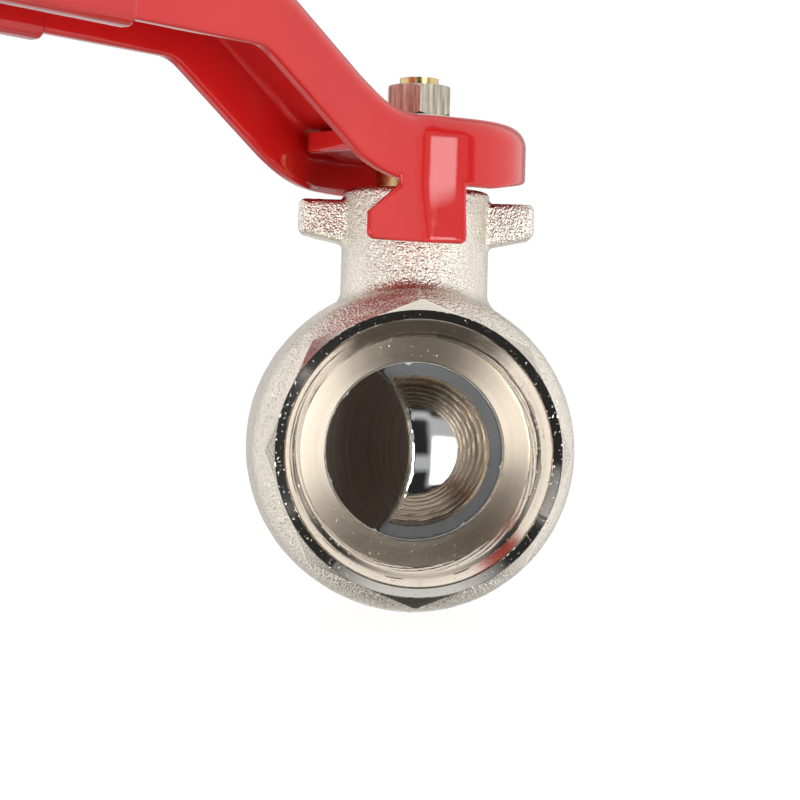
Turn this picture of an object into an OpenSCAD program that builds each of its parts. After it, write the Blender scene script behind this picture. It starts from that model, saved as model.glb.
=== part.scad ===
// Two-piece threaded ball valve with a pressed steel lever, drawn half open.
// Origin at the ball's centre. The pipe runs along Y and the stem points up +Z.

/* [Pipe ends] */
// Major diameter of the female pipe thread (G 1 1/4)
thread_major = 41.91; // [41.5:0.01:42.4]
// Across flats of the octagonal wrench ends
port_af = 47; // [46.5:0.1:48]
// Face to face length of the valve
face_to_face = 84; // [84:0.5:88]
// Depth of the threaded socket
socket_depth = 20; // [19:0.1:20.5]
// Diameter of the flow bore
bore_d = 30.6; // [29:0.1:31]

/* [Housing] */
// Diameter of the housing at its rear collar
housing_d = 59.6; // [59:0.1:61]
// Diameter of the ball
ball_d = 48; // [47.5:0.1:48.2]
// Diameter of the stem neck
neck_d = 26.4; // [26:0.1:28]
// Height of the neck top above the pipe axis
neck_top = 46.2; // [46:0.1:46.4]
// Reach of the stop lugs from the stem axis
lug_reach = 21; // [20:0.1:21.5]

/* [Stem] */
// Diameter of the stem in the neck
stem_d = 14.8; // [14:0.1:15]
// Side of the square that carries the lever
square_side = 9; // [8:0.1:9.4]
// Thread diameter of the stem end
stud_d = 7; // [6:0.5:8]
// Across flats of the lever nut
nut_af = 11; // [11:0.1:12]

/* [Lever] */
// Angle of the lever from the open position
lever_angle = 47; // [40:1:50]
// Radius of the lever head
head_r = 19.5; // [19:0.1:20]
// Sheet thickness of the lever
sheet = 2.5; // [2:0.1:2.7]
// Height of the lever head's top above the pipe axis
head_top = 58.2; // [58:0.1:58.6]
// Outer width of the lever channel
channel_w = 26; // [24:0.5:28]
// Reach of the lever from the stem axis
lever_reach = 150; // [130:1:170]
// Height of the grip above the lever head
grip_rise = 19.8; // [16:0.1:22]
// Rise angle between the head and the grip
rise_angle = 35.5; // [32:0.5:38]
// Thickness of the grip sleeve
sleeve_t = 1.4; // [1:0.1:2]

/* [Hidden] */
$fn = 96;
eps = 0.01;

// Pipe ends
half_len = face_to_face / 2;
socket_r = thread_major / 2;
relief_r = socket_r - 0.95;
relief_len = 2;
rim_depth = 0.7;
mouth_r = 22.15;
rim_r = port_af / 2 - 0.2;
shoulder_y = half_len - socket_depth;
bore_r = bore_d / 2;
port_r = port_af / 2 / cos(22.5);
flats_len = 17;
flats_end = half_len - flats_len;
face_r = port_af / 2;
corner_chamfer = 1.2;

// Seats
ball_r = ball_d / 2;
ball_face_y = 17.3;
seat_wall = 1;
pocket_y = shoulder_y - seat_wall;
seat_r = 20.5;
seat_bore_r = bore_r - 0.1;
seat_face_y = 13.4;
seat_gap = 0.1;

// Housing
collar_r = housing_d / 2;
shell_front_r = collar_r - 1.6;
chamber_r = ball_r + 0.7;
chamber_y = 13;
joint_r = 25.6;
joint_step_y = 13;
body_rear_y = 20;
flange_r = 28.6;
flange_y = 23.6;
seal_r = 0.9;
seal_step = 2 * seal_r + 0.1;

// Neck, from the bottom up
neck_r = neck_d / 2;
stem_r = stem_d / 2;
neck_bore_r = stem_r + 0.05;
collar_pocket_r = 9.9;
collar_bottom = 24.7;
collar_top = 27;
collar_gap = 0.05;
washer_t = 1;
packing_bottom = 36;
packing_t = 2.4;
gland_r = 10;
gland_bottom = packing_bottom + 2 * packing_t;
lug_half = 4.5;
lug_top = 44.2;
lug_low_root = 36.6;
lug_low_end = 38.2;
lug_round = 1.5;

// Stem
tang_w = 7.6;
tang_len = 15;
tang_bottom = 17.6;
slot_w = tang_w + 0.4;
o_ring_r = 0.85;
o_ring_z = [30.2, 33.4];
plate_t = 3.7;
plate_bottom = head_top - sheet - plate_t;
lock_t = 1.4;
lock_r = 6.8;
nut_h = 5.5;
nut_base = head_top + lock_t;
stud_r = stud_d / 2;
stud_top = nut_base + nut_h + 1.4;

// Lever side profile, measured along the lever from the stem axis
flange_depth = 12.2;
bend1_l = 11.5;
bend1_r = 16;
bend2_r = 20;
bend1_z = head_top + bend1_r;
grip_top = head_top + grip_rise;
straight_dz = grip_rise - (bend1_r + bend2_r) * (1 - cos(rise_angle));
straight_dl = straight_dz / tan(rise_angle);
bend2_l = bend1_l + (bend1_r + bend2_r) * sin(rise_angle) + straight_dl;
bend2_z = grip_top - bend2_r;
grip_depth_end = 9;
end_round = 8;
channel_start = 10;
skirt_low = 46;
skirt_low_back = 49;
head_bevel = 2.4;
tab_low = 35.9;
tab_step = 0.05;
tab_half = 24.5;
tab_waist = 10;
tab_hook_z = 40.8;
sleeve_from = 76;
channel_half = channel_w / 2;
square_clear = 0.1;

function arc(cx, cy, r, from, to, n = 12) =
    [for (i = [0:n]) [cx + r * cos(from + (to - from) * i / n),
                      cy + r * sin(from + (to - from) * i / n)]];

// Revolves an [radius, place] outline round the pipe axis.
module about_pipe(points) {
    rotate([-90, 0, 0]) rotate_extrude($fn = 128) polygon(points);
}

// Straight round bar along the pipe, from one place to another.
module pipe_bar(r, from, to) {
    translate([0, from, 0]) rotate([-90, 0, 0]) cylinder(r = r, h = to - from, $fn = 128);
}

// Turns +Y to the rest direction of the lever, at its angle from open.
module along_lever() {
    rotate([0, 0, 180 - lever_angle]) children();
}

// Octagonal wrench end with its corners turned off, face at -half_len.
module octagon_end(to) {
    intersection() {
        translate([0, -half_len, 0]) rotate([-90, 0, 0])
            cylinder(r = port_r, h = half_len - to, $fn = 8);
        about_pipe([[0, -half_len], [face_r, -half_len],
                    [port_r + 0.1, -half_len + corner_chamfer],
                    [port_r + 0.1, -flats_end], [face_r, -to], [0, -to]]);
    }
}

// Everything that is cut out of a pipe end: mouth, thread bore, relief and flow bore.
module socket_cut(inner) {
    about_pipe([[0, -half_len - 1], [rim_r, -half_len - 1], [rim_r, -half_len],
                [mouth_r, -half_len + rim_depth],
                [socket_r, -half_len + rim_depth + mouth_r - socket_r],
                [socket_r, -shoulder_y - relief_len],
                [relief_r, -shoulder_y - relief_len + 0.9], [relief_r, -shoulder_y],
                [bore_r, -shoulder_y], [bore_r, inner], [0, inner]]);
}

module housing_shell() {
    about_pipe(concat([[0, -24.6], [23.4, -24.6]],
        arc(shell_front_r - 6.6, -15.4, 6.6, -72, 0),
        [[collar_r, 8], [collar_r, body_rear_y - 0.8],
         [collar_r - 0.8, body_rear_y], [0, body_rear_y]]));
}

module neck() {
    rotate_extrude() polygon(concat([[0, 0], [neck_r + 3.6, 0], [neck_r + 3.6, 26.4]],
        arc(neck_r + 4.4, 31, 4.4, 260, 180, 8),
        arc(neck_r - 0.8, neck_top - 0.8, 0.8, 0, 90, 4), [[0, neck_top]]));
}

module lug() {
    rotate([90, 0, 0]) linear_extrude(2 * lug_half, center = true)
        polygon(concat([[neck_r - 1, lug_low_root - 0.3]],
            arc(lug_reach - lug_round, lug_low_end + lug_round, lug_round, -75, 0, 6),
            arc(lug_reach - lug_round, lug_top - lug_round, lug_round, 0, 90, 6),
            [[neck_r - 1, lug_top]]));
}

module body() {
    color([0.80, 0.76, 0.70]) difference() {
        union() {
            octagon_end(23);
            housing_shell();
            neck();
            lug();
            mirror([1, 0, 0]) lug();
        }
        socket_cut(0);
        pipe_bar(seat_r, -pocket_y, 0);
        pipe_bar(chamber_r, -chamber_y, joint_step_y);
        pipe_bar(joint_r, joint_step_y, body_rear_y + 1);
        cylinder(r = collar_pocket_r, h = collar_top + washer_t);
        cylinder(r = neck_bore_r, h = neck_top + 1);
        translate([0, 0, packing_bottom]) cylinder(r = gland_r, h = neck_top);
    }
}

module end_connector() {
    color([0.78, 0.74, 0.68]) mirror([0, 1, 0]) difference() {
        union() {
            octagon_end(body_rear_y + 1);
            about_pipe([[0, -flange_y], [flange_r - 0.6, -flange_y],
                        [flange_r, -flange_y + 0.6], [flange_r, -body_rear_y - 0.4],
                        [flange_r - 0.4, -body_rear_y], [joint_r, -body_rear_y],
                        [joint_r, -joint_step_y - seal_step],
                        [joint_r - seal_step, -joint_step_y - seal_step],
                        [joint_r - seal_step, -joint_step_y], [0, -joint_step_y]]);
        }
        socket_cut(0);
        pipe_bar(seat_r, -pocket_y, 0);
    }
}

module ball() {
    color([0.86, 0.87, 0.90]) along_lever() difference() {
        intersection() {
            sphere(r = ball_r, $fn = 128);
            pipe_bar(ball_r + 1, -ball_face_y, ball_face_y);
        }
        pipe_bar(bore_r, -ball_r, ball_r);
        translate([-ball_r, -slot_w / 2, tang_bottom - 0.3]) cube([2 * ball_r, slot_w, ball_r]);
    }
}

module seat() {
    color([0.96, 0.96, 0.94]) difference() {
        about_pipe([[seat_bore_r, -pocket_y], [seat_r, -pocket_y], [seat_r, -seat_face_y],
                    [seat_bore_r, -seat_face_y]]);
        sphere(r = ball_r + seat_gap, $fn = 128);
    }
}

module seat_front() {
    seat();
}

module seat_rear() {
    mirror([0, 1, 0]) seat();
}

module body_joint_seal() {
    color([0.12, 0.12, 0.12]) rotate([-90, 0, 0])
        translate([0, 0, joint_step_y + seal_step / 2]) rotate_extrude()
            translate([joint_r - seal_step / 2, 0]) circle(r = seal_r, $fn = 24);
}

module stem() {
    color([0.82, 0.68, 0.42]) difference() {
        union() {
            along_lever() intersection() {
                translate([-tang_len / 2, -tang_w / 2, tang_bottom])
                    cube([tang_len, tang_w, collar_bottom - tang_bottom + eps]);
                cylinder(r = tang_len / 2, h = collar_top);
            }
            translate([0, 0, collar_bottom])
                cylinder(r = collar_pocket_r - 0.2, h = collar_top - collar_gap - collar_bottom);
            cylinder_between(stem_r, collar_bottom, plate_bottom);
            along_lever() translate([-square_side / 2, -square_side / 2, plate_bottom])
                cube([square_side, square_side, head_top - 0.3 - plate_bottom]);
            cylinder_between(stud_r, plate_bottom, stud_top);
        }
        for (z = o_ring_z) translate([0, 0, z]) rotate_extrude()
            translate([stem_r - 1.75, -0.95]) square([2, 1.9]);
    }
}

module cylinder_between(r, from, to) {
    translate([0, 0, from]) cylinder(r = r, h = to - from);
}

module ring(inner, outer, from, to) {
    difference() {
        cylinder_between(outer, from, to);
        cylinder_between(inner, from - 1, to + 1);
    }
}

module stem_thrust_washer() {
    color([0.95, 0.95, 0.93]) ring(stem_r + 0.05, collar_pocket_r - 0.1, collar_top,
                                   collar_top + washer_t);
}

module o_ring(z) {
    color([0.10, 0.10, 0.10]) translate([0, 0, z]) rotate_extrude()
        translate([stem_r - o_ring_r + 0.02, 0]) circle(r = o_ring_r, $fn = 24);
}

module stem_o_ring_lower() {
    o_ring(o_ring_z[0]);
}

module stem_o_ring_upper() {
    o_ring(o_ring_z[1]);
}

module packing_ring(bottom) {
    color([0.94, 0.94, 0.90]) ring(stem_r + 0.04, gland_r - 0.02, bottom, bottom + packing_t);
}

module packing_ring_lower() {
    packing_ring(packing_bottom);
}

module packing_ring_upper() {
    packing_ring(packing_bottom + packing_t);
}

module gland_nut() {
    color([0.83, 0.70, 0.42]) difference() {
        ring(stem_r + 0.06, gland_r, gland_bottom, neck_top - 0.4);
        for (turn = [0, 90]) rotate([0, 0, turn])
            translate([-gland_r - 1, -1.2, neck_top - 1.9]) cube([2 * gland_r + 2, 2.4, 2]);
    }
}

// Plate under the lever sheet, a disc with a straight tongue towards the grip.
module hub_plate() {
    color([0.55, 0.05, 0.06]) along_lever() difference() {
        linear_extrude_at(plate_bottom, plate_t) union() {
            circle(r = head_r - sheet - 1.4);
            hub_tongue();
        }
        stem_square(plate_bottom - 1, plate_t + 2);
    }
}

module hub_tongue() {
    tongue_half = channel_half - sheet - 0.5;
    tongue_end = head_r;
    corner = 3;
    polygon(concat([[-tongue_half, 0], [tongue_half, 0]],
        arc(tongue_half - corner, tongue_end - corner, corner, 0, 90, 8),
        arc(corner - tongue_half, tongue_end - corner, corner, 90, 180, 8)));
}

module linear_extrude_at(z, h) {
    translate([0, 0, z]) linear_extrude(h) children();
}

module stem_square(z, h) {
    side = square_side + 2 * square_clear;
    linear_extrude_at(z, h) square([side, side], center = true);
}

// Upper edge [along, height] of the lever's side, lowered by drop.
function side_top(drop) = concat(
    [[lever_reach + 5, grip_top - drop], [bend2_l, grip_top - drop]],
    arc(bend2_l, bend2_z, bend2_r - drop, 90, 90 + rise_angle, 6),
    arc(bend1_l, bend1_z, bend1_r + drop, -90 + rise_angle, -90, 6),
    [[-head_r - 1, head_top - drop]]);

// Lower edge of the lever's side, a constant depth below the upper edge up to the grip.
function side_low() = concat(
    [[-head_r - 1, skirt_low_back], [0, skirt_low]],
    arc(bend1_l, bend1_z, bend1_r + flange_depth, -90, -90 + rise_angle, 6),
    arc(bend2_l, bend2_z, bend2_r - flange_depth, 90 + rise_angle, 90, 4),
    [[lever_reach + 5, grip_top - grip_depth_end]]);

module side_outline() {
    polygon(concat(side_top(0), side_low()));
}

module side_core() {
    polygon(concat(side_top(sheet), [[-head_r - 1, 20], [lever_reach + 5, 20]]));
}

// Stands a [along, height] outline up and gives it a width across the lever.
module across_lever(width) {
    rotate([90, 0, 90]) linear_extrude(width, center = true) children();
}

// The channel seen from above, from a start on the lever's line to its rounded end.
module channel_plan(inset, start) {
    half = channel_half - inset;
    centre = channel_half - end_round;
    polygon(concat([[-half, start], [half, start]],
        arc(centre, lever_reach - end_round, end_round - inset, 0, 90, 8),
        arc(-centre, lever_reach - end_round, end_round - inset, 90, 180, 8)));
}

// Head envelope with its top edge broken by a chamfer.
module head_round(inset) {
    break = head_bevel - inset * (2 - sqrt(2));
    rotate_extrude() polygon([[0, 30], [head_r - inset, 30],
        [head_r - inset, head_top - inset - break],
        [head_r - inset - break, head_top - inset], [0, head_top - inset]]);
}

// Head and channel as one block; the inset block is what the sheet encloses.
module lever_block(inset) {
    head_round(inset);
    linear_extrude_at(30, 60) channel_plan(inset, channel_start + inset);
}

// Stop tab, a wedge of the skirt that hangs between the two lugs.
module stop_tab() {
    rotate([0, 0, -135]) intersection() {
        ring(head_r - sheet + tab_step, head_r - tab_step, tab_low, skirt_low + 3);
        rotate([90, 0, 0]) linear_extrude(head_r + 1) tab_outline();
    }
}

// Outline seen from outside the head; the hook is on the grip's side.
module tab_outline() {
    half = head_r * sin(tab_half);
    waist = head_r * sin(tab_waist);
    corner = 1.5;
    polygon(concat([[-waist, skirt_low + 4], [-waist, skirt_low - 1], [-half, tab_hook_z]],
        arc(-half + corner, tab_low + corner, corner, 180, 270, 5),
        arc(half - corner, tab_low + corner, corner, -90, 0, 5),
        [[half, skirt_low + 4]]));
}

module lever() {
    color([0.80, 0.07, 0.08]) along_lever() difference() {
        union() {
            intersection() {
                across_lever(3 * head_r) side_outline();
                lever_block(0);
            }
            stop_tab();
        }
        intersection() {
            across_lever(3 * head_r) side_core();
            lever_block(sheet);
        }
        stem_square(head_top - sheet - 1, sheet + 2);
    }
}

// Open-bottomed sleeve that hugs the channel along the grip.
module lever_sleeve() {
    color([0.78, 0.06, 0.07]) along_lever() difference() {
        intersection() {
            across_lever(2 * channel_w) polygon([
                [sleeve_from, grip_top + sleeve_t], [lever_reach + 5, grip_top + sleeve_t],
                [lever_reach + 5, grip_top - grip_depth_end - sleeve_t],
                [sleeve_from, grip_top - flange_depth - sleeve_t + 0.8]]);
            linear_extrude_at(30, 60) channel_plan(-sleeve_t, sleeve_from - 1);
        }
        intersection() {
            across_lever(2 * channel_w) side_outline();
            linear_extrude_at(30, 60) channel_plan(0, sleeve_from - 2);
        }
        linear_extrude_at(30, grip_top - sheet - sleeve_t - 30)
            channel_plan(sheet + sleeve_t, sleeve_from - 2);
    }
}

module lock_washer() {
    color([0.72, 0.70, 0.62]) ring(stud_r + 0.15, lock_r, head_top, nut_base);
}

module lever_nut() {
    color([0.85, 0.76, 0.45]) difference() {
        intersection() {
            translate([0, 0, nut_base]) rotate([0, 0, 30])
                cylinder(r = nut_af / 2 / cos(30), h = nut_h, $fn = 6);
            rotate_extrude() polygon([[0, nut_base], [nut_af / 2, nut_base],
                [nut_af / 2 / cos(30) + 0.05, nut_base + 0.5],
                [nut_af / 2 / cos(30) + 0.05, nut_base + nut_h - 0.5],
                [nut_af / 2, nut_base + nut_h], [0, nut_base + nut_h]]);
        }
        cylinder_between(stud_r, nut_base - 1, nut_base + nut_h + 1);
    }
}

body();
end_connector();
ball();
seat_front();
seat_rear();
body_joint_seal();
stem();
stem_thrust_washer();
stem_o_ring_lower();
stem_o_ring_upper();
packing_ring_lower();
packing_ring_upper();
gland_nut();
hub_plate();
lever();
lever_sleeve();
lock_washer();
lever_nut();
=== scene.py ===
"""Ball valve: nickel-plated casting, turned pipe ends, mirror ball and red pressed lever."""

import math

import bmesh
import bpy
import numpy as np
from mathutils import Matrix, Vector


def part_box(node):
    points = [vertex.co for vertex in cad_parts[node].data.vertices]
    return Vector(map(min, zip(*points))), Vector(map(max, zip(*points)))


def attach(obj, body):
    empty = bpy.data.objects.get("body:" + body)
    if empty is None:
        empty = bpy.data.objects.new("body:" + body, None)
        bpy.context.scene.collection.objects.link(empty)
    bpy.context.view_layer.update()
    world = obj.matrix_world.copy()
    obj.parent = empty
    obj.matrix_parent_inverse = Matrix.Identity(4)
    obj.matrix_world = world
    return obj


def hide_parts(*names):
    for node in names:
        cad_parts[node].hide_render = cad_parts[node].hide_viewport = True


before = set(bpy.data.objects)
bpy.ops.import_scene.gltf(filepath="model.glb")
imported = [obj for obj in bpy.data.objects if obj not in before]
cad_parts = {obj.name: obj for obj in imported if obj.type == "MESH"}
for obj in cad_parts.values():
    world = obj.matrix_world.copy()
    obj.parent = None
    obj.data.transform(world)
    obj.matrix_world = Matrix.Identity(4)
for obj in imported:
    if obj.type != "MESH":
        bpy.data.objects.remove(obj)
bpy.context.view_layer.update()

MM = 0.001
ROOT = "valve_body"
TURNS = "lever_assembly"

# Sizes in millimetres. Most repeat the CAD part's; lips, coats and the finest steps are
# this script's own.
HALF_LEN = 42.0
PITCH = 2.309
MAJOR_R = 20.955
MINOR_R = 19.476
PORT_CUT = -27.5
RIM_R = 23.38
MOUTH_R = 21.95
MOUTH_Y = -41.22
SHOULDER_Y = 22.0
BORE_R = 15.3
BALL_R = 24.0
LIP = 1.35
SLOT = (60.0, 8.0, 10.0)
SLOT_MIDDLE = 22.3
PORT_FLAT = 23.5
PORT_CORNER_R = 25.36
INSERT_R = 22.5
SEAT_POCKET_R = 20.45
CAVITY_R = 24.7
CAVITY_HALF = 13.0
JOINT_R = 25.6
BARREL_R = 28.2
COLLAR_R = 28.6
NECK_R = 13.2
NECK_TOP = 46.2
STEM_COLLAR_R = 9.9
STEM_BORE_R = 7.45
GLAND_R = 10.0
GLAND_FROM = 36.0
LUG_HALF = 4.5
LUG_REACH = 21.05
LUG_TOP = 44.2
LUG_LOW = 36.4
LEVER_ANGLE = math.radians(47)
HEAD_R = 19.5
HEAD_TOP = 58.2
SHEET = 2.5
CHANNEL_HALF = 13.0
LEVER_REACH = 150.0
END_ROUND = 8.0
SKIRT_LOW = 46.0
SQUARE_HALF = 4.6
TAB_LOW = 35.9
HOOK_TOP = 45.6
COAT = 1.35
SLEEVE_FROM = 76.0


# ---------------------------------------------------------------- mesh helpers

def make_object(name, verts, faces, body, material):
    """A mesh object in metres from points in millimetres, riding on a CAD body."""
    mesh = bpy.data.meshes.new(name)
    mesh.from_pydata((np.asarray(verts, float) * MM).tolist(), [], faces)
    mesh.validate()
    mesh.update()
    mesh.polygons.foreach_set("use_smooth", [True] * len(mesh.polygons))
    piece = bpy.data.objects.new(name, mesh)
    bpy.context.scene.collection.objects.link(piece)
    mesh.materials.append(material)
    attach(piece, body)
    return piece


def surface_net(field, low, high, step):
    """Quad mesh of the surface where field(x, y, z) is zero; it is negative inside.
    Each grid cell that the surface crosses gets one point, and each crossed grid edge one
    quad. Then the points slide along the field's slope until they lie on the surface."""
    settle_rounds = 3
    axes = [np.arange(a, b + step, step) for a, b in zip(low, high)]
    size = [len(a) for a in axes]
    grid_y, grid_z = np.meshgrid(axes[1], axes[2], indexing="ij")
    values = np.empty(size, np.float32)
    for i, x in enumerate(axes[0]):
        values[i] = field(np.full_like(grid_y, x), grid_y, grid_z)
    inside = values < 0

    def corner(a, o):
        return a[o[0]:size[0] - 1 + o[0], o[1]:size[1] - 1 + o[1], o[2]:size[2] - 1 + o[2]]

    offsets = [(i, j, k) for i in (0, 1) for j in (0, 1) for k in (0, 1)]
    count = sum(corner(inside, o).astype(np.int8) for o in offsets)
    active = (count > 0) & (count < 8)
    number = np.full(active.shape, -1, np.int64)
    number[active] = np.arange(active.sum())
    cells = np.argwhere(active)
    total = np.zeros((len(cells), 3))
    hits = np.zeros(len(cells))
    for o in offsets:
        for axis in range(3):
            if o[axis]:
                continue
            far = list(o)
            far[axis] = 1
            va = values[tuple((cells + o).T)]
            vb = values[tuple((cells + far).T)]
            crossed = (va < 0) != (vb < 0)
            t = np.where(crossed, va / np.where(crossed, va - vb, 1), 0)
            point = np.tile(np.array(o, float), (len(cells), 1))
            point[:, axis] += t
            total += point * crossed[:, None]
            hits += crossed
    verts = np.array([a[0] for a in axes]) + (cells + total / hits[:, None]) * step
    faces = []
    for axis in range(3):
        u, v = [i for i in range(3) if i != axis]
        first = [slice(None)] * 3
        second = [slice(None)] * 3
        first[axis] = slice(0, size[axis] - 1)
        second[axis] = slice(1, size[axis])
        change = inside[tuple(first)] != inside[tuple(second)]
        places = np.argwhere(change)
        keep = (places[:, u] > 0) & (places[:, v] > 0)
        keep &= (places[:, u] < size[u] - 1) & (places[:, v] < size[v] - 1)
        places = places[keep]
        starts = inside[tuple(places.T)]
        quad = []
        for du, dv in ((-1, -1), (0, -1), (0, 0), (-1, 0)):
            cell = places.copy()
            cell[:, u] += du
            cell[:, v] += dv
            quad.append(number[tuple(cell.T)])
        quad = np.array(quad).T
        flip = starts if axis != 1 else ~starts
        quad[~flip] = quad[~flip][:, ::-1]
        faces.append(quad)
    faces = np.concatenate(faces)
    h = step * 0.25
    for _ in range(settle_rounds):
        x, y, z = verts.T
        d = field(x, y, z)
        g = np.array([
            field(x + h, y, z) - field(x - h, y, z),
            field(x, y + h, z) - field(x, y - h, z),
            field(x, y, z + h) - field(x, y, z - h)]).T / (2 * h)
        length2 = np.maximum((g * g).sum(1), 0.05)
        move = -(d / length2)[:, None] * g
        reach = np.linalg.norm(move, axis=1)
        move *= np.minimum(1, 0.4 * step / np.maximum(reach, 1e-9))[:, None]
        verts = verts + move
    return verts, faces.tolist()


def round_and(a, b, r):
    """Intersection of two fields with a convex round of radius r."""
    return (np.minimum(np.maximum(a + r, b + r), 0)
            + np.hypot(np.maximum(a + r, 0), np.maximum(b + r, 0)) - r)


def round_or(a, b, r):
    """Union of two fields with a concave fillet of radius r."""
    return -round_and(-a, -b, r)


def hash_noise(x, y, z, scale, seed=0.0):
    """Smooth bumpy field between about -1 and 1, a sum of turned sine waves."""
    total = 0
    for k in range(5):
        a = 1.7 * k + seed
        u = x * math.cos(a) + y * math.sin(a)
        v = -x * math.sin(a) + y * math.cos(a)
        w = z * math.cos(a * 1.3) + u * math.sin(a * 1.3)
        total = total + np.sin(u * scale * (1 + 0.21 * k) + 2.1 * k) * np.sin(
            v * scale * (1.13 - 0.07 * k) + 0.7 * seed) * np.cos(w * scale * 0.9 + k)
    return total / 2.2


def tube(name, rows, body, material, count, turn=None):
    """Ring about +Y with a closed section. rows holds (radius, place) pairs, each a number
    or an array over the angle, in order round the section; turn maps the points at the end."""
    angles = np.arange(count) * 2 * math.pi / count
    points = []
    for r, y in rows:
        r = np.broadcast_to(r, angles.shape)
        y = np.broadcast_to(y, angles.shape)
        points.append(np.stack([r * np.cos(angles), y, r * np.sin(angles)], 1))
    verts = np.concatenate(points)
    if turn is not None:
        verts = turn(verts)
    n = len(rows)
    faces = []
    for i in range(n):
        j = (i + 1) % n
        for k in range(count):
            m = (k + 1) % count
            faces.append((i * count + k, i * count + m, j * count + m, j * count + k))
    piece = make_object(name, verts, faces, body, material)
    tidy_normals(piece)
    return piece


def tidy_normals(piece, angle=32):
    """Outward faces, and shading that is smooth except at sharp edges."""
    mesh = piece.data
    bm = bmesh.new()
    bm.from_mesh(mesh)
    bmesh.ops.recalc_face_normals(bm, faces=bm.faces)
    bm.to_mesh(mesh)
    bm.free()
    mesh.set_sharp_from_angle(angle=math.radians(angle))


# ---------------------------------------------------------------- materials

def material(name, **values):
    """A Principled material; keyword names are socket names with _ for spaces."""
    made = bpy.data.materials.new(name)
    made.use_nodes = True
    shader = made.node_tree.nodes["Principled BSDF"]
    for key, value in values.items():
        shader.inputs[key.replace("_", " ")].default_value = value
    return made, made.node_tree, shader


def node(tree, kind, inputs=None, **settings):
    """A shader node; each input is either another node's output to link or a value."""
    made = tree.nodes.new(kind)
    for key, value in settings.items():
        setattr(made, key, value)
    for key, value in (inputs or {}).items():
        socket = made.inputs[key]
        if isinstance(value, bpy.types.NodeSocket):
            tree.links.new(value, socket)
        else:
            socket.default_value = value
    return made


def ramp(tree, source, stops):
    """Colour that runs through the stops, (place, colour) pairs, as source goes 0 to 1."""
    made = node(tree, "ShaderNodeValToRGB", {"Fac": source})
    elements = made.color_ramp.elements
    while len(elements) < len(stops):
        elements.new(0.5)
    for element, (place, colour) in zip(elements, stops):
        element.position = place
        element.color = (*colour, 1)
    return made.outputs["Color"]


def map_range(tree, source, low, high, to_low, to_high):
    """Straight-line rescaling from one range to another, held level past both ends."""
    return node(tree, "ShaderNodeMapRange", {
        "Value": source, "From Min": low, "From Max": high,
        "To Min": to_low, "To Max": to_high}).outputs["Result"]


def window(tree, value, low, high, soft):
    """1 between low and high, 0 outside, with soft edges."""
    rise = map_range(tree, value, low - soft, low + soft, 0.0, 1.0)
    fall = map_range(tree, value, high - soft, high + soft, 1.0, 0.0)
    return math_node(tree, "MULTIPLY", rise, fall)


def math_node(tree, operation, a, b=0.0):
    """One sum on two outputs or values."""
    return node(tree, "ShaderNodeMath", {0: a, 1: b}, operation=operation).outputs[0]


def grain(tree, coords, size_mm, detail=2.0, roughness=0.5):
    """Noise whose lumps are about size_mm across, from 0 to 1."""
    return node(tree, "ShaderNodeTexNoise", {
        "Vector": coords, "Scale": 1.0 / (size_mm * MM * 1.6), "Detail": detail,
        "Roughness": roughness}).outputs["Fac"]


def place(tree):
    """The shaded point in the piece's own coordinates, in metres."""
    return node(tree, "ShaderNodeTexCoord").outputs["Object"]


def bump(tree, height, depth_mm, after=None):
    """Relief depth_mm high, laid over the normal of an earlier bump if there is one."""
    inputs = {"Height": height, "Distance": depth_mm * MM, "Strength": 1.0}
    if after is not None:
        inputs["Normal"] = after
    return node(tree, "ShaderNodeBump", inputs).outputs["Normal"]


def nickel_cast():
    """Shot-blasted forging under satin nickel: fine glinting pits, soft lumps, a seam."""
    made, tree, shader = material("nickel_cast", Metallic=1.0)
    at = place(tree)
    pits = grain(tree, at, 0.23, 1.0)
    lumps = grain(tree, at, 0.5, 1.0)
    patches = grain(tree, at, 9.0, 2.0)
    colour = ramp(tree, patches, [(0.3, (0.75, 0.70, 0.61)), (0.7, (0.84, 0.785, 0.695))])
    tree.links.new(colour, shader.inputs["Base Color"])
    tree.links.new(map_range(tree, pits, 0.3, 0.7, 0.25, 0.38), shader.inputs["Roughness"])
    first = bump(tree, lumps, 0.16)
    second = bump(tree, pits, 0.29, first)
    x = node(tree, "ShaderNodeSeparateXYZ", {"Vector": at}).outputs[0]
    seam = window(tree, x, -0.10 * MM, 0.16 * MM, 0.06 * MM)
    tree.links.new(bump(tree, seam, 0.12, second), shader.inputs["Normal"])
    return made


def turned(name, colour, dark, roughness, groove_mm, depth_mm, aniso):
    """Lathe-turned metal: fine rings about the pipe's line, with a soft spread."""
    made, tree, shader = material(name, Metallic=1.0, Anisotropic=aniso,
                                  Anisotropic_Rotation=0.25)
    at = place(tree)
    pits = grain(tree, at, 0.35, 2.0)
    x, y, z = node(tree, "ShaderNodeSeparateXYZ", {"Vector": at}).outputs
    r2 = math_node(tree, "ADD", math_node(tree, "MULTIPLY", x, x),
                   math_node(tree, "MULTIPLY", z, z))
    radius = math_node(tree, "SQRT", r2)
    along = node(tree, "ShaderNodeCombineXYZ", {"X": radius, "Y": y, "Z": 0.0}).outputs[0]
    rings = grain(tree, along, groove_mm, 4.0, 0.7)
    shade = ramp(tree, grain(tree, along, groove_mm * 7.5, 2.0), [(0.3, dark), (0.7, colour)])
    tree.links.new(shade, shader.inputs["Base Color"])
    tree.links.new(map_range(tree, rings, 0.3, 0.7, roughness * 0.8, roughness * 1.25),
                   shader.inputs["Roughness"])
    scars = bump(tree, map_range(tree, pits, 0.67, 0.78, 0.0, 1.0), 0.03)
    tree.links.new(bump(tree, rings, depth_mm, scars), shader.inputs["Normal"])
    tangent = node(tree, "ShaderNodeTangent", direction_type="RADIAL", axis="Y")
    tree.links.new(tangent.outputs["Tangent"], shader.inputs["Tangent"])
    return made


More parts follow.
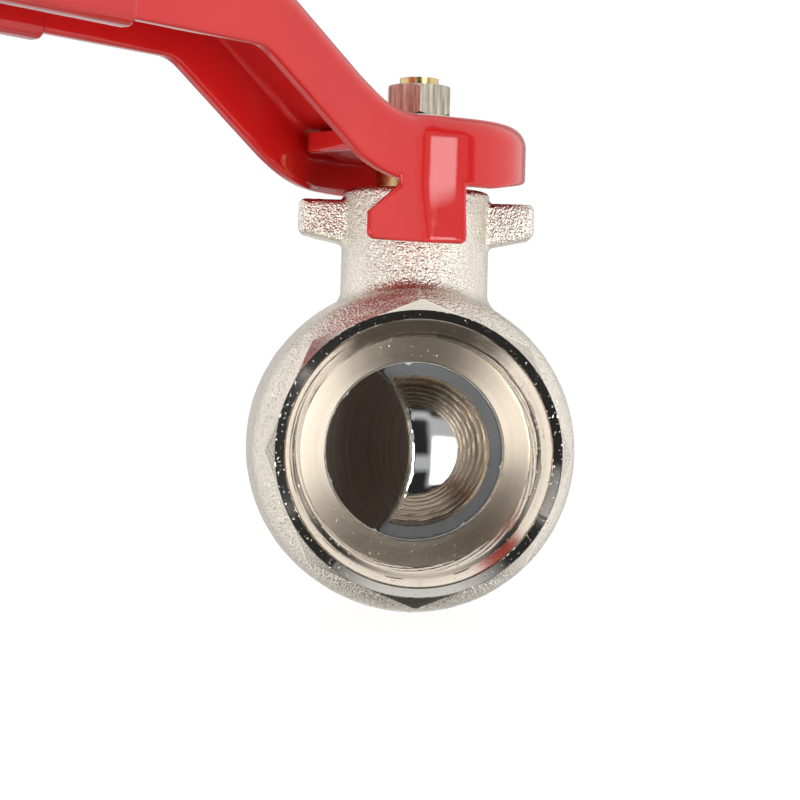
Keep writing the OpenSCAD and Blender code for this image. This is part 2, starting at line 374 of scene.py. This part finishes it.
def chrome():
    """The ball's polish: a mirror with a slight haze and a very shallow ripple."""
    made, tree, shader = material("chrome_ball", Metallic=1.0)
    at = place(tree)
    haze = grain(tree, at, 5.0, 3.0)
    tree.links.new(ramp(tree, haze, [(0.3, (0.62, 0.625, 0.63)), (0.7, (0.68, 0.68, 0.68))]),
                   shader.inputs["Base Color"])
    tree.links.new(map_range(tree, haze, 0.3, 0.7, 0.04, 0.08), shader.inputs["Roughness"])
    waves = bump(tree, grain(tree, at, 2.5, 1.0), 0.006)
    tree.links.new(bump(tree, grain(tree, at, 0.35, 2.0), 0.0025, waves),
                   shader.inputs["Normal"])
    return made


def ball_bore():
    """The ball's unplated bore: dull brown, with the marks of the drill."""
    made, tree, shader = material("ball_bore", Metallic=0.15)
    at = place(tree)
    along = (-math.sin(LEVER_ANGLE), -math.cos(LEVER_ANGLE), 0.0)
    depth = node(tree, "ShaderNodeVectorMath", {0: at, 1: along},
                 operation="DOT_PRODUCT").outputs["Value"]
    line = node(tree, "ShaderNodeCombineXYZ", {"X": depth, "Y": 0.0, "Z": 0.0}).outputs[0]
    marks = grain(tree, line, 0.5, 3.0, 0.7)
    stain = grain(tree, at, 4.0, 3.0)
    tree.links.new(ramp(tree, marks, [(0.35, (0.46, 0.40, 0.34)), (0.65, (0.68, 0.59, 0.52))]),
                   shader.inputs["Base Color"])
    tree.links.new(map_range(tree, stain, 0.3, 0.7, 0.55, 0.7), shader.inputs["Roughness"])
    tree.links.new(bump(tree, marks, 0.05), shader.inputs["Normal"])
    return made


def red_coat(name, tint=1.0):
    """Thick glossy dip coating: deep red, gently uneven, with a clear wet top."""
    made, tree, shader = material(name, Roughness=0.4, Coat_Weight=1.0, Coat_Roughness=0.03,
                                  Specular_IOR_Level=0.05)
    at = place(tree)
    cloud = grain(tree, at, 14.0, 3.0)
    tree.links.new(ramp(tree, cloud, [
        (0.3, (0.75 * tint, 0.018, 0.017)), (0.7, (0.83 * tint, 0.026, 0.024))]),
        shader.inputs["Base Color"])
    soft = bump(tree, grain(tree, at, 4.0, 1.0), 0.05)
    skin = bump(tree, grain(tree, at, 0.8, 2.0), 0.006, soft)
    tree.links.new(skin, shader.inputs["Normal"])
    tree.links.new(skin, shader.inputs["Coat Normal"])
    return made


def plain(name, low, high, rough, size_mm=1.5, metallic=0.0, depth_mm=0.01):
    """Everyday surface: colour and roughness drift with a noise, and a light bump."""
    made, tree, shader = material(name, Metallic=metallic)
    at = place(tree)
    cloud = grain(tree, at, size_mm, 3.0)
    tree.links.new(ramp(tree, cloud, [(0.3, low), (0.7, high)]), shader.inputs["Base Color"])
    tree.links.new(map_range(tree, cloud, 0.3, 0.7, rough * 0.85, rough * 1.15),
                   shader.inputs["Roughness"])
    tree.links.new(bump(tree, grain(tree, at, size_mm * 0.3, 2.0), depth_mm),
                   shader.inputs["Normal"])
    return made


def streaked(name, low, high, rough):
    """Plated nut: broached flats with streaks running along the stem."""
    made, tree, shader = material(name, Metallic=1.0)
    at = place(tree)
    x, y, z = node(tree, "ShaderNodeSeparateXYZ", {"Vector": at}).outputs
    long_z = math_node(tree, "MULTIPLY", z, 0.07)
    drawn = node(tree, "ShaderNodeCombineXYZ", {"X": x, "Y": y, "Z": long_z}).outputs[0]
    streaks = grain(tree, drawn, 0.45, 4.0, 0.7)
    tree.links.new(ramp(tree, streaks, [(0.38, low), (0.62, high)]),
                   shader.inputs["Base Color"])
    tree.links.new(map_range(tree, streaks, 0.3, 0.7, rough * 1.2, rough * 0.8),
                   shader.inputs["Roughness"])
    tree.links.new(bump(tree, streaks, 0.06), shader.inputs["Normal"])
    return made


MATERIALS = {
    "cast": nickel_cast(),
    "rim": turned("nickel_rim", (0.72, 0.69, 0.64), (0.62, 0.59, 0.54), 0.08, 0.2, 0.004, 0.2),
    "turned": turned("nickel_turned", (0.84, 0.765, 0.66), (0.70, 0.61, 0.50), 0.15, 0.2, 0.006,
                     0.3),
    "shoulder": turned("nickel_shoulder", (0.98, 0.89, 0.76), (0.88, 0.79, 0.66), 0.40, 0.16,
                       0.006, 0.92),
    "edge": plain("nickel_edge", (0.74, 0.69, 0.60), (0.82, 0.77, 0.68), 0.26, 0.5, 1.0, 0.03),
    "chrome": chrome(),
    "bore": ball_bore(),
    "ptfe": plain("ptfe", (0.84, 0.87, 0.90), (0.92, 0.94, 0.95), 0.38, 2.0, 0.0, 0.03),
    "rubber": plain("rubber", (0.018, 0.018, 0.018), (0.03, 0.03, 0.03), 0.6),
    "brass": plain("brass", (0.60, 0.42, 0.19), (0.72, 0.53, 0.27), 0.27, 1.2, 1.0),
    "red": red_coat("red_coat"),
    "plate": red_coat("red_plate", 0.9),
    "sleeve": red_coat("red_sleeve", 0.94),
    "zinc": streaked("zinc_yellow", (0.38, 0.34, 0.27), (0.82, 0.77, 0.64), 0.38),
    "washer": plain("zinc_washer", (0.55, 0.52, 0.44), (0.68, 0.65, 0.56), 0.34, 0.8, 1.0, 0.02),
}


# ---------------------------------------------------------------- casting fields

def octagon(x, z, flat, round_r):
    """Distance to a bar of eight flats, corners at 0, 45, 90 degrees."""
    r = np.hypot(x, z)
    sector = math.pi / 4
    a = np.abs(np.mod(np.arctan2(z, x), sector) - sector / 2)
    return round_and(r * np.cos(a) - flat, r * np.cos(sector - a) - flat, round_r)


def port_radius(angle, y):
    """Outside of an octagonal end facing -Y, with its corners turned off at the face."""
    sector = math.pi / 4
    a = np.abs(np.mod(angle, sector) - sector / 2)
    x, z = PORT_FLAT * np.cos(angle), PORT_FLAT * np.sin(angle)
    cast = 0.05 * hash_noise(x, y, z, 2.1) if y > 1.0 - HALF_LEN else 0.0
    flats = PORT_FLAT / np.cos(a) + cast
    return np.minimum(np.minimum(flats, PORT_CORNER_R + cast), PORT_FLAT + (y + HALF_LEN) * 1.75)


def port_root(x, y, z):
    """The octagon where it leaves the casting; it dives under the turned end at its tip."""
    bar = octagon(x, z, PORT_FLAT, 0.5) - 0.05 * hash_noise(x, y, z, 2.1)
    tucked = 0.4 * np.clip((PORT_CUT - 0.1 - y) / 0.8, 0, 1)
    return np.maximum(bar + tucked, PORT_CUT - 1.4 - y)


def socket_space(r, y):
    """What the turned insert fills in the casting."""
    flare = np.maximum(0, -HALF_LEN + 0.78 - y) * 1.6
    mouth = np.maximum(r - INSERT_R - flare, y + SHOULDER_Y - 0.5)
    return np.minimum(mouth, np.maximum(r - SEAT_POCKET_R, np.abs(y + 17) - 4.5))


def body_field(x, y, z):
    """The body: barrel, octagon, neck and lugs, less the socket, cavity and stem's bores."""
    r = np.hypot(x, z)
    neck_dist = np.hypot(x, y)
    side = BARREL_R + np.clip(y + 14, -10, 25) * 0.064
    barrel = round_and(r - side, -y - 23.4, 7.0)
    barrel = round_and(barrel, y - 20.0, 0.9)
    shell = round_or(barrel, port_root(x, y, z), 1.6)
    neck = round_and(neck_dist - NECK_R, z - NECK_TOP, 1.0)
    neck = np.maximum(neck, -z)
    low = (LUG_LOW + (np.abs(x) - NECK_R) * 0.22 - z) * 0.977
    lug = round_and(np.abs(y) - LUG_HALF, np.abs(x) - LUG_REACH, 1.1)
    lug = round_and(lug, round_and(z - LUG_TOP, low, 1.1), 1.1)
    outside = round_or(round_or(shell, neck, 1.8), lug, 0.9)
    seam = 0.10 * np.exp(-(x / 0.4) ** 2)
    rough = 0.03 * hash_noise(x, y, z, 2.6) + 0.05 * hash_noise(x, y, z, 0.7, 2.0)
    outside = outside - seam - rough * (y > PORT_CUT + 1)
    inner = socket_space(r, y)
    inner = np.minimum(inner, np.maximum(r - CAVITY_R, np.abs(y) - CAVITY_HALF))
    inner = np.minimum(inner, np.maximum(r - JOINT_R, CAVITY_HALF - y))
    inner = np.minimum(inner, np.maximum(neck_dist - STEM_COLLAR_R, np.abs(z - 24) - 4.0))
    inner = np.minimum(inner, np.maximum(neck_dist - STEM_BORE_R, 20 - z))
    inner = np.minimum(inner, np.maximum(neck_dist - GLAND_R, GLAND_FROM - z))
    return np.maximum(outside, -inner)


def connector_field(x, y, z):
    """The end connector, facing -Y: collar, spigot and the octagon's root, less its bore."""
    r = np.hypot(x, z)
    flange = round_and(r - COLLAR_R, np.abs(y + 21.8) - 1.8, 0.45)
    spigot = np.minimum(np.maximum(r - JOINT_R + 0.05, np.abs(y + 18.2) - 3.3),
                        np.maximum(r - 23.65, np.abs(y + 17.2) - 4.15))
    stub = np.maximum(port_root(x, y, z), y + 21.0)
    outside = round_or(flange, stub, 1.2)
    rough = 0.03 * hash_noise(x, y, z, 2.6, 5.0) + 0.04 * hash_noise(x, y, z, 0.7, 7.0)
    outside = outside - rough * (y > PORT_CUT + 1) * (y < -20.4)
    outside = np.minimum(outside, spigot)
    return np.maximum(outside, -socket_space(r, y))


def build_castings():
    """The two forgings. The connector is drawn facing -Y and mirrored to the rear."""
    verts, faces = surface_net(body_field, (-31, -29.5, -30.8), (31, 20.8, 47.2), 0.32)
    piece = make_object("valve_body_casting", verts, faces, ROOT, MATERIALS["cast"])
    tidy_normals(piece, 38)
    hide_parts("body")
    verts, faces = surface_net(connector_field, (-29.4, -29.5, -29.4), (29.4, -12.4, 29.4), 0.32)
    verts[:, 1] *= -1
    piece = make_object("end_connector_casting", verts, faces, ROOT, MATERIALS["cast"])
    tidy_normals(piece, 38)
    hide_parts("end_connector")


# ---------------------------------------------------------------- turned sockets

def thread_depth(phase):
    """Rounded 55 degree thread form, 0 at the crest and 1 at the root."""
    u = np.abs(2 * np.mod(phase, 1.0) - 1)
    t = np.clip((u - 0.14) / 0.72, 0, 1)
    return t * t * (3 - 2 * t) * 0.35 + t * 0.65


def socket_rows(count):
    """Section of the turned insert: mouth, helical thread, shoulder, bore, then back
    outside it to the octagon's flats and chamfer."""
    angles = np.arange(count) * 2 * math.pi / count
    burr = np.maximum(0, ragged(angles, 1.0)) ** 2
    nick = np.maximum(0, ragged(angles, 4.0) - 0.9) * 0.12
    rows = [(RIM_R - 0.1 * nick, -HALF_LEN + nick), (MOUTH_R + 0.1, MOUTH_Y - 0.06),
            (MOUTH_R + 0.04, MOUTH_Y - 0.09 - 0.04 * burr), (MOUTH_R - 0.04, MOUTH_Y)]
    thread_from = MOUTH_Y
    thread_to = -SHOULDER_Y - 1.6
    steps = int((thread_to - thread_from) / 0.13)
    for i in range(1, steps + 1):
        y = thread_from + (thread_to - thread_from) * i / steps
        phase = (y - thread_from) / PITCH - angles / (2 * math.pi)
        runout = min(1.0, max(0.0, (thread_to - y) / 1.2))
        r = MINOR_R + (MAJOR_R - MINOR_R) * thread_depth(phase) * runout
        r = r + (20.0 - MINOR_R) * (1 - runout)
        cone = MOUTH_R - (y - thread_from) * 1.05
        rows.append((np.maximum(r, cone), y))
    rows += [(20.0, -SHOULDER_Y - 0.15), (19.85, -SHOULDER_Y)]
    rows += [(r, -SHOULDER_Y) for r in np.linspace(19.2, BORE_R + 0.2, 5)]
    rows += [(BORE_R, -SHOULDER_Y + 0.18), (BORE_R, -SHOULDER_Y + 1.0),
             (20.3, -SHOULDER_Y + 1.0), (22.4, -SHOULDER_Y + 0.6), (22.4, PORT_CUT + 0.6),
             (port_radius(angles, PORT_CUT) - 0.35, PORT_CUT + 0.1)]
    chamfer_depth = 1.2
    coarse = np.linspace(PORT_CUT, chamfer_depth - HALF_LEN, 24)
    fine = np.linspace(chamfer_depth - HALF_LEN, -HALF_LEN, 14)
    rows += [(port_radius(angles, y), y) for y in [*coarse, *fine[1:]]]
    return rows


def ragged(angles, seed):
    """Uneven height round an edge, mostly between -1 and 1."""
    total = np.zeros(len(angles))
    for k, wave in enumerate((7, 17, 31, 53, 89, 113)):
        total += np.sin(wave * angles + seed * (k + 1.3)) / (1 + 0.2 * k)
    return total / 2.2


def build_sockets():
    """The inlet's insert, and the same one mirrored for the outlet."""
    count = 448
    piece = tube("inlet_socket", socket_rows(count), ROOT, MATERIALS["turned"],
                 count)
    paint_socket(piece)

    def to_rear(verts):
        return verts * np.array([1, -1, 1])

    piece = tube("outlet_socket", socket_rows(count), ROOT, MATERIALS["turned"],
                 count, to_rear)
    paint_socket(piece)


def paint_socket(piece):
    """Cast flats, burnished rim and corners, coarsely turned shoulder, threaded rest."""
    rim, shoulder, cast, corner = 1, 2, 3, 4
    mesh = piece.data
    for name in ("rim", "shoulder", "cast", "edge"):
        mesh.materials.append(MATERIALS[name])
    for polygon in mesh.polygons:
        depth = abs(polygon.center.y) / MM
        radius = math.hypot(polygon.center.x, polygon.center.z) / MM
        if radius > PORT_FLAT - 0.04:
            polygon.material_index = cast if abs(polygon.normal.y) < 0.4 else corner
        elif radius > MOUTH_R and depth > -MOUTH_Y:
            polygon.material_index = rim
        elif SHOULDER_Y - 0.05 < depth < SHOULDER_Y + 0.1 and radius < 20.1:
            polygon.material_index = shoulder
    for edge in mesh.edges:
        ends = [mesh.vertices[i].co / MM for i in edge.vertices]
        if all(abs(e.y) > HALF_LEN - 0.1 and math.hypot(e.x, e.z) > MOUTH_R + 1 for e in ends):
            edge.use_edge_sharp = True


# ---------------------------------------------------------------- ball and seats

def lever_frame(verts):
    """Turns local +Y to the lever's rest direction, as the CAD part does."""
    a = math.pi - LEVER_ANGLE
    x = verts[:, 0] * math.cos(a) - verts[:, 1] * math.sin(a)
    y = verts[:, 0] * math.sin(a) + verts[:, 1] * math.cos(a)
    return np.stack([x, y, verts[:, 2]], 1)


def build_ball():
    """The mirror ball, turned to the lever's angle, with a worn lip round a dull bore."""
    count = 288
    ring_r = BORE_R + LIP
    ring_y = math.sqrt((BALL_R - LIP) ** 2 - ring_r ** 2)
    edge = math.atan2(ring_r, ring_y)
    burr = 0.08 * ragged(np.arange(count) * 2 * math.pi / count, 3.0)
    rows = [(BALL_R * math.sin(a), -BALL_R * math.cos(a))
            for a in np.linspace(edge, math.pi - edge, 97)]
    lip = []
    for a in np.linspace(edge, -math.pi / 2, 15)[1:]:
        worn = burr * math.cos(a)
        lip.append((ring_r + (LIP - worn) * math.sin(a), ring_y + (LIP - worn) * math.cos(a)))
    rows += lip
    rows += [(BORE_R, y) for y in np.linspace(ring_y, -ring_y, 24)[1:-1]]
    rows += [(r, -y) for r, y in reversed(lip)]
    piece = tube("ball_polished", rows, TURNS, MATERIALS["chrome"], count,
                 lever_frame)
    piece.data.materials.append(MATERIALS["bore"])
    toward = Vector((-math.sin(LEVER_ANGLE), -math.cos(LEVER_ANGLE), 0))
    for polygon in piece.data.polygons:
        c = polygon.center
        off = (c - toward * c.dot(toward)).length / MM
        if off < BORE_R + 0.06:
            polygon.material_index = 1
    cut_slot(piece)
    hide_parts("ball")


def cut_slot(ball):
    """The slot in the ball's top that takes the stem's tang."""
    bm = bmesh.new()
    bmesh.ops.create_cube(bm, size=1)
    bmesh.ops.scale(bm, vec=Vector(SLOT) * MM, verts=bm.verts)
    bmesh.ops.translate(bm, vec=(0, 0, SLOT_MIDDLE * MM), verts=bm.verts)
    turn = Matrix.Rotation(math.pi - LEVER_ANGLE, 4, "Z")
    bmesh.ops.transform(bm, matrix=turn, verts=bm.verts)
    mesh = bpy.data.meshes.new("slot_cutter")
    bm.to_mesh(mesh)
    bm.free()
    cutter = bpy.data.objects.new("slot_cutter", mesh)
    bpy.context.scene.collection.objects.link(cutter)
    cut = ball.modifiers.new("slot", "BOOLEAN")
    cut.operation = "DIFFERENCE"
    cut.object = cutter
    apply_modifiers(ball)
    bpy.data.objects.remove(cutter)


def apply_modifiers(piece):
    """Bakes a piece's modifiers into its mesh."""
    depsgraph = bpy.context.evaluated_depsgraph_get()
    made = bpy.data.meshes.new_from_object(piece.evaluated_get(depsgraph))
    piece.modifiers.clear()
    piece.data = made


def build_seats():
    """PTFE rings that fit the ball, their front edges torn a little into the bore."""
    count = 288
    angles = np.arange(count) * 2 * math.pi / count
    torn = np.clip(ragged(angles, 2.0) - 0.55, 0, 1.2) * 0.5
    for name, node_name, flip in (("seat_front_ring", "seat_front", 1),
                                  ("seat_rear_ring", "seat_rear", -1)):
        inner = BORE_R - 0.1
        contact = -math.sqrt((BALL_R + 0.1) ** 2 - inner ** 2)
        rows = [(inner - torn, -21.05), (inner - torn * 0.8, -20.8), (inner, -20.4),
                (inner, contact)]
        for r in np.linspace(inner + 0.4, 20.4, 14):
            rows.append((r, -math.sqrt((BALL_R + 0.1) ** 2 - r * r)))
        rows += [(20.45, -13.4), (20.45, -20.9), (inner + 0.5, -20.98)]

        def turn(verts, flip=flip):
            return verts * np.array([1, flip, 1])

        piece = tube(name, rows, ROOT, MATERIALS["ptfe"], count, turn)
        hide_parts(node_name)


# ---------------------------------------------------------------- lever

RISE = math.radians(35.5)
GRIP_RISE = 19.8
GRIP_TOP = HEAD_TOP + GRIP_RISE
BEND1_L = 11.5
BEND1_R = 16.0
BEND2_R = 20.0
BEND2_L = (BEND1_L + (BEND1_R + BEND2_R) * math.sin(RISE)
           + (GRIP_RISE - (BEND1_R + BEND2_R) * (1 - math.cos(RISE))) / math.tan(RISE))
FLANGE_DEPTH = 12.2
GRIP_DEPTH_END = 9.0


def top_distance(l, z):
    """Signed distance above the lever's top line, which is flat, rises, and is flat."""
    c1 = (BEND1_L, HEAD_TOP + BEND1_R)
    c2 = (BEND2_L, GRIP_TOP - BEND2_R)
    rho1 = np.hypot(l - c1[0], z - c1[1])
    rho2 = np.hypot(l - c2[0], z - c2[1])
    phi = np.arctan2(l - c1[0], c1[1] - z)
    psi = np.arctan2(c2[0] - l, z - c2[1])
    p1 = (c1[0] + BEND1_R * math.sin(RISE), c1[1] - BEND1_R * math.cos(RISE))
    slope = -(l - p1[0]) * math.sin(RISE) + (z - p1[1]) * math.cos(RISE)
    d = np.where(psi > RISE, slope, rho2 - BEND2_R)
    d = np.where(l > c2[0], z - GRIP_TOP, d)
    first_bend = (phi < RISE) & (l < BEND2_L - 8)
    d = np.where(first_bend, BEND1_R - rho1, d)
    return np.where(l < c1[0], z - HEAD_TOP, d)


def lever_plan(l, w):
    """Signed distance to the lever's outline seen from above: a round head, and a channel
    that flares a little where it joins it. l runs along the lever and w across it."""
    head = np.hypot(l, w) - HEAD_R
    flare = 2.7 * np.clip((26 - l) / 15, 0, 1) ** 1.5
    bar = round_and(np.abs(w) - CHANNEL_HALF - flare, l - LEVER_REACH, END_ROUND)
    bar = np.maximum(bar, 2 - l)
    return round_or(head, bar, 0.8)


def tab_field(l, w, z):
    """Stop tab: a dovetail cut from the skirt, between the directions of lever and lugs."""
    side = (w - l) / math.sqrt(2)
    side = np.where(side > 0, side * HEAD_R / np.maximum(np.hypot(l, w), 1.0), side)
    facing = (l + w) > 0
    half = 8.9
    hook_half = 8.3
    waist = 3.15
    lean = 0.007 * np.clip(47 - z, 0, 6) ** 2 + 0.084 * np.clip(41 - z, 0, 6)
    wall = np.abs(lever_plan(l, w) - lean + SHEET / 2) - SHEET / 2
    slant = (-side - waist) * 0.70 + (z - HOOK_TOP) * 0.71
    hook = np.maximum(-side - hook_half, slant)
    left = np.where(z > HOOK_TOP, -side - waist, hook)
    outline = round_and(np.maximum(side - half, left), TAB_LOW - z, 1.3)
    outline = np.maximum(outline, z - 50.0)
    solid = round_and(wall, outline, 0.8)
    return np.where(facing, solid, 5.0)


def sheet_field(l, w, z):
    """The pressed sheet: top, flanges, skirt and stop tab, with the square hole."""
    top = top_distance(l, z)
    outer = round_and(lever_plan(l, w), top, 4.0)
    wall = np.abs(outer + SHEET / 2) - SHEET / 2
    taper = np.clip((l - BEND2_L) / (LEVER_REACH - BEND2_L), 0, 1)
    depth = FLANGE_DEPTH + (GRIP_DEPTH_END - FLANGE_DEPTH) * taper
    low = -top - depth
    skirt = SKIRT_LOW + np.maximum(0, -l) * 0.146 - z
    low = np.where(l < BEND1_L, skirt, low)
    solid = round_and(wall, low, 0.8)
    solid = np.minimum(solid, tab_field(l, w, z))
    hole = np.maximum(np.abs(l), np.abs(w)) - SQUARE_HALF
    return np.maximum(solid, -hole)


def sleeve_field(l, w, z):
    """The grip's sleeve: a thick coat over the end of the sheet."""
    solid = sheet_field(l, w, z) - COAT
    return round_and(solid, SLEEVE_FROM - l, 0.7)


def build_lever():
    """The pressing and its sleeve, turned from their own axes to the rest direction."""
    def swap(verts):
        return lever_frame(np.stack([-verts[:, 1], verts[:, 0], verts[:, 2]], 1))

    verts, faces = surface_net(sheet_field, (-20.4, -20.4, 35.0), (151, 20.4, 79.2), 0.36)
    piece = make_object("lever_pressing", swap(verts), faces, TURNS, MATERIALS["red"])
    tidy_normals(piece, 60)
    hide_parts("lever")
    verts, faces = surface_net(sleeve_field, (75, -15.2, 62.0), (152.4, 15.2, 80.2), 0.4)
    piece = make_object("grip_sleeve", swap(verts), faces, TURNS, MATERIALS["sleeve"])
    tidy_normals(piece, 60)
    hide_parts("lever_sleeve")


# ---------------------------------------------------------------- carried-over CAD nodes

def finish_cad_nodes():
    """Materials for the nodes kept from the CAD, and softened edges where they show."""
    looks = {
        "body_joint_seal": "rubber", "stem": "brass", "stem_thrust_washer": "ptfe",
        "stem_o_ring_lower": "rubber", "stem_o_ring_upper": "rubber",
        "packing_ring_lower": "ptfe", "packing_ring_upper": "ptfe", "gland_nut": "brass",
        "hub_plate": "plate", "lock_washer": "washer", "lever_nut": "zinc"}
    rounds = {"lock_washer": 0.25, "lever_nut": 0.18, "gland_nut": 0.2}
    for name, look in looks.items():
        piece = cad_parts[name]
        piece.data.materials.clear()
        piece.data.materials.append(MATERIALS[look])
        if name in rounds:
            weld = piece.modifiers.new("weld", "WELD")
            weld.merge_threshold = 1e-6
            bevel = piece.modifiers.new("edges", "BEVEL")
            bevel.width = rounds[name] * MM
            bevel.segments = 3
            bevel.limit_method = "ANGLE"
            bevel.angle_limit = math.radians(35)
    coat_hub_plate(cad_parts["hub_plate"])


def coat_hub_plate(plate):
    """Softens the plate's edges as a thick coating does."""
    coat = plate.modifiers.new("coat", "REMESH")
    coat.mode = "VOXEL"
    coat.voxel_size = 0.35 * MM
    coat.use_smooth_shade = True
    flow = plate.modifiers.new("flow", "SMOOTH")
    flow.factor = 0.5
    flow.iterations = 16


# ---------------------------------------------------------------- studio

def build_camera():
    """Just left of the pipe's line and a little above it, aimed right of it with a roll."""
    place_mm = (-16.2, -442, 9.2)
    roll = math.radians(1.5)
    right, up = 0.032166, -0.002036
    dx = right * math.cos(roll) - up * math.sin(roll)
    dz = right * math.sin(roll) + up * math.cos(roll)
    forward = Vector((dx, 1, dz)).normalized()
    sideways = Vector((math.cos(roll), 0, math.sin(roll)))
    sideways = (sideways - forward * sideways.dot(forward)).normalized()
    upward = sideways.cross(forward)
    data = bpy.data.cameras.new("camera")
    data.sensor_width = 36
    data.lens = 110.52
    data.clip_start = 0.01
    data.clip_end = 20
    camera = bpy.data.objects.new("camera", data)
    bpy.context.scene.collection.objects.link(camera)
    turn = Matrix((sideways, upward, -forward)).transposed().to_4x4()
    camera.matrix_world = Matrix.Translation(Vector(place_mm) * MM) @ turn
    bpy.context.scene.camera = camera


def build_floor():
    """A plain pale floor that curves up into a wall far away on all sides."""
    low = min(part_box(n)[0].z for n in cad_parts)
    rings = [0.0, 0.4, 1.0, 1.8, 2.4, 2.8, 3.0, 3.05]
    rise = [0.0, 0.0, 0.0, 0.02, 0.22, 0.7, 1.6, 3.2]
    count = 64
    verts = [(0, 0, low)]
    for r, h in list(zip(rings, rise))[1:]:
        for k in range(count):
            a = 2 * math.pi * k / count
            verts.append((r * math.cos(a), r * math.sin(a), low + h))
    faces = [(0, 1 + k, 1 + (k + 1) % count) for k in range(count)]
    for i in range(len(rings) - 2):
        for k in range(count):
            m = (k + 1) % count
            a, b = 1 + i * count, 1 + (i + 1) * count
            faces.append((a + k, b + k, b + m, a + m))
    mesh = bpy.data.meshes.new("studio_floor")
    mesh.from_pydata(verts, [], faces)
    mesh.polygons.foreach_set("use_smooth", [True] * len(mesh.polygons))
    floor = bpy.data.objects.new("studio_floor", mesh)
    bpy.context.scene.collection.objects.link(floor)
    look, _, shader = material("studio_floor", Roughness=0.9)
    shader.inputs["Base Color"].default_value = (0.15, 0.15, 0.15, 1)
    shader.inputs["Emission Color"].default_value = (1, 1, 1, 1)
    shader.inputs["Emission Strength"].default_value = 0.9
    mesh.materials.append(look)
    floor.visible_glossy = False
    floor.visible_diffuse = False


# Lit panels seen from the valve: left, right, bottom and top as slopes off -Y, and power.
SOFT_BOXES = [
    (0.33, 0.82, -0.55, 0.19, 6.2),
    (-0.85, -0.28, -0.65, 0.03, 5.6),
    (0.80, 1.20, -0.80, 0.03, 2.1),
    (0.25, 1.30, 0.19, 0.55, 0.6),
    (-1.25, -0.42, 0.06, 0.55, 0.5),
    (0.80, 1.30, 0.06, 0.19, 0.5),
    (0.26, 0.33, -0.62, 0.19, 0.6),
    (-0.10, 0.26, -0.31, -0.08, 0.6),
    (-0.10, 0.28, 0.50, 0.64, 0.65),
]


def build_world():
    """A white tent behind and beside with a grey flag each side of the background, and a
    dark front with lit panels and a pale top. The camera itself sees plain white."""
    world = bpy.data.worlds.new("studio")
    bpy.context.scene.world = world
    world.use_nodes = True
    tree = world.node_tree
    tree.nodes.clear()
    direction = node(tree, "ShaderNodeTexCoord").outputs["Generated"]
    x, y, z = node(tree, "ShaderNodeSeparateXYZ", {"Vector": direction}).outputs
    ahead = math_node(tree, "MULTIPLY", y, -1.0)
    near = math_node(tree, "MAXIMUM", ahead, 0.01)
    across = math_node(tree, "DIVIDE", x, near)
    upward = math_node(tree, "DIVIDE", z, near)
    # The dark front is the cone about the camera's side; under it the tent fades out too.
    front = map_range(tree, ahead, 0.45, 0.53, 0.0, 1.0)
    under = math_node(tree, "MULTIPLY", map_range(tree, z, -0.7, -0.85, 0.0, 0.95),
                      map_range(tree, ahead, -0.35, 0.0, 0.0, 1.0))
    tent = math_node(tree, "MULTIPLY", math_node(tree, "SUBTRACT", 1.0, front),
                     math_node(tree, "SUBTRACT", 1.0, under))
    # Grey flags stand behind the valve, to the left and right of its outline.
    sideways = math_node(tree, "DIVIDE", math_node(tree, "ABSOLUTE", x),
                         math_node(tree, "MAXIMUM", y, 0.01))
    flags = math_node(tree, "MULTIPLY", window(tree, sideways, 0.15, 0.7, 0.12), 0.65)
    tent = math_node(tree, "MULTIPLY", tent, math_node(tree, "SUBTRACT", 1.0, flags))
    top = math_node(tree, "MULTIPLY", map_range(tree, z, 0.6, 0.76, 0.0, 0.8), front)
    level = math_node(tree, "ADD", math_node(tree, "MULTIPLY", tent, 1.1), top)
    for left, right, low, high, power in SOFT_BOXES:
        lit = math_node(tree, "MULTIPLY", window(tree, across, left, right, 0.05),
                        window(tree, upward, low, high, 0.05))
        level = math_node(tree, "ADD", level, math_node(tree, "MULTIPLY", lit, power))
    level = math_node(tree, "ADD", level, 0.03)
    shade = node(tree, "ShaderNodeBackground", {"Color": (1, 1, 1, 1), "Strength": level})
    white = node(tree, "ShaderNodeBackground", {"Color": (1, 1, 1, 1), "Strength": 1.0})
    seen = node(tree, "ShaderNodeLightPath").outputs["Is Camera Ray"]
    mixed = node(tree, "ShaderNodeMixShader", {0: seen, 1: shade.outputs[0],
                                               2: white.outputs[0]})
    out = node(tree, "ShaderNodeOutputWorld")
    tree.links.new(mixed.outputs[0], out.inputs["Surface"])


build_castings()
build_sockets()
build_ball()
build_seats()
build_lever()
finish_cad_nodes()
build_floor()
build_world()
build_camera()

bpy.context.scene.view_settings.view_transform = "Standard"
